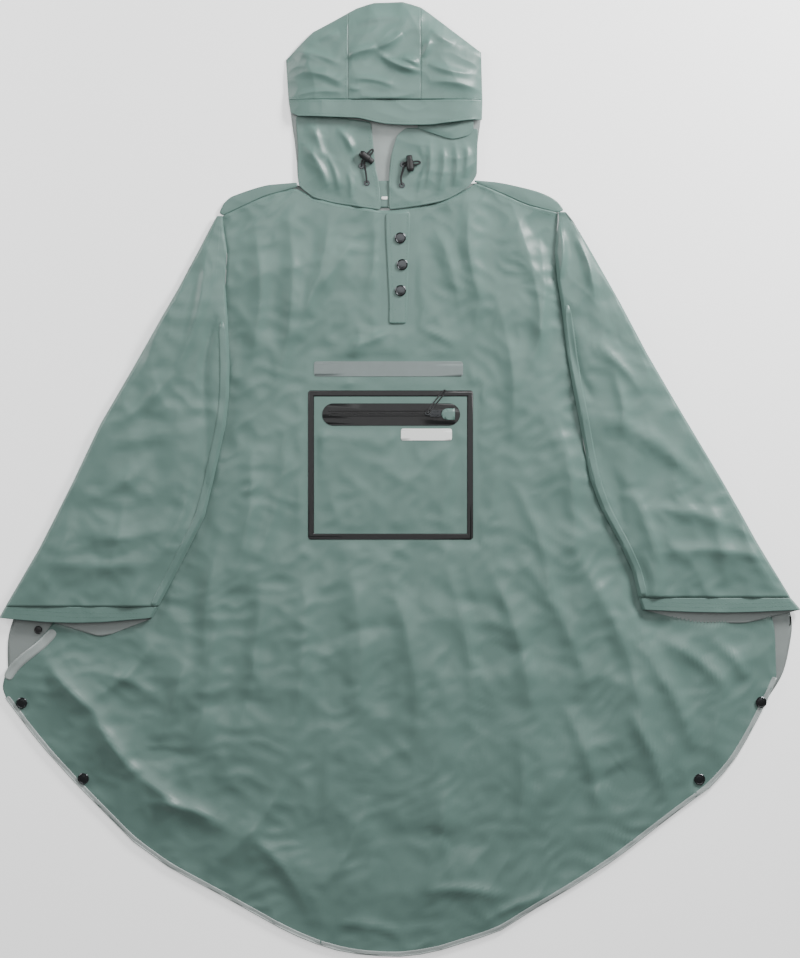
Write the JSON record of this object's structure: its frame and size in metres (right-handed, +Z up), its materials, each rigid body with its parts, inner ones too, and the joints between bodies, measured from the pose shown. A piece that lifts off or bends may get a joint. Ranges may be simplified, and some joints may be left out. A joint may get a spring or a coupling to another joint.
{
  "type": "rain poncho",
  "caption": "Hooded cycling rain poncho laid flat, front up, with sleeves, drawcord hood, snap placket, zipped chest pocket and curved hem.",
  "frame": {"origin": "centre of the garment as laid, on the surface that it lies on", "axes": "+Y to the top of the hood, +X to the right of the picture (the wearer's left sleeve), +Z up out of the front"},
  "size_m": [1.08, 1.2865, 0.0187],
  "materials": {
    "shell_fabric": "soft sheen, coated nylon; silver-grey coating inside",
    "binding": "satin woven binding",
    "seam_tape": "soft sheen, coated nylon",
    "welded_tape": "satin film",
    "reflective_tape": "beaded reflective film",
    "snap_metal": "polished gunmetal",
    "zip_metal": "polished gunmetal",
    "moulded_plastic": "satin",
    "cord": "matt braid",
    "label": "matt woven"
  },
  "bodies": {
    "garment": {"back_panel": "shell_fabric", "brim_facing": "shell_fabric", "collar_facing": "shell_fabric", "collar_tag": "label", "cord_lock_left": "moulded_plastic", "cord_lock_right": "moulded_plastic", "cuff_left": "shell_fabric", "cuff_right": "shell_fabric", "drawcord_left": "cord", "drawcord_right": "cord", "edge_binding_left": "binding", "eyelet_left_lower": "snap_metal", "eyelet_left_upper": "snap_metal", "eyelet_right_lower": "snap_metal", "eyelet_right_upper": "snap_metal", "front_panel": "shell_fabric", "hem_binding": "binding", "hem_snap_1": "snap_metal", "hem_snap_2": "snap_metal", "hem_snap_3": "snap_metal", "hem_snap_4": "snap_metal", "hood_back": "shell_fabric", "hood_brim": "shell_fabric", "hood_crown_centre": "shell_fabric", "hood_crown_left": "shell_fabric", "hood_crown_right": "shell_fabric", "hood_neck_left": "shell_fabric", "hood_neck_right": "shell_fabric", "inner_snap": "moulded_plastic", "label": "label", "placket_flap": "shell_fabric", "placket_snap_1": "snap_metal", "placket_snap_2": "snap_metal", "placket_snap_3": "snap_metal", "pocket_tape": "welded_tape", "reflective_strip": "reflective_tape", "sleeve_left": "shell_fabric", "sleeve_right": "shell_fabric", "underarm_seam_left": "seam_tape", "underarm_seam_right": "seam_tape", "yoke_left": "shell_fabric", "yoke_right": "shell_fabric", "zip_garage": "shell_fabric", "zip_slider": "zip_metal", "zip_window": "welded_tape"},
    "zip_pull": {"zip_pull": "zip_metal", "zip_pull_cord": "cord"}
  },
  "joints": [
    {"name": "zip_pull_hinge", "type": "hinge", "parent": "garment", "child": "zip_pull", "pos_m": [0.0508, 0.0884, 0.00805], "axis": [0, 1, 0], "range_deg": [0, 150], "deforming": ["zip_pull_cord"]}
  ]
}
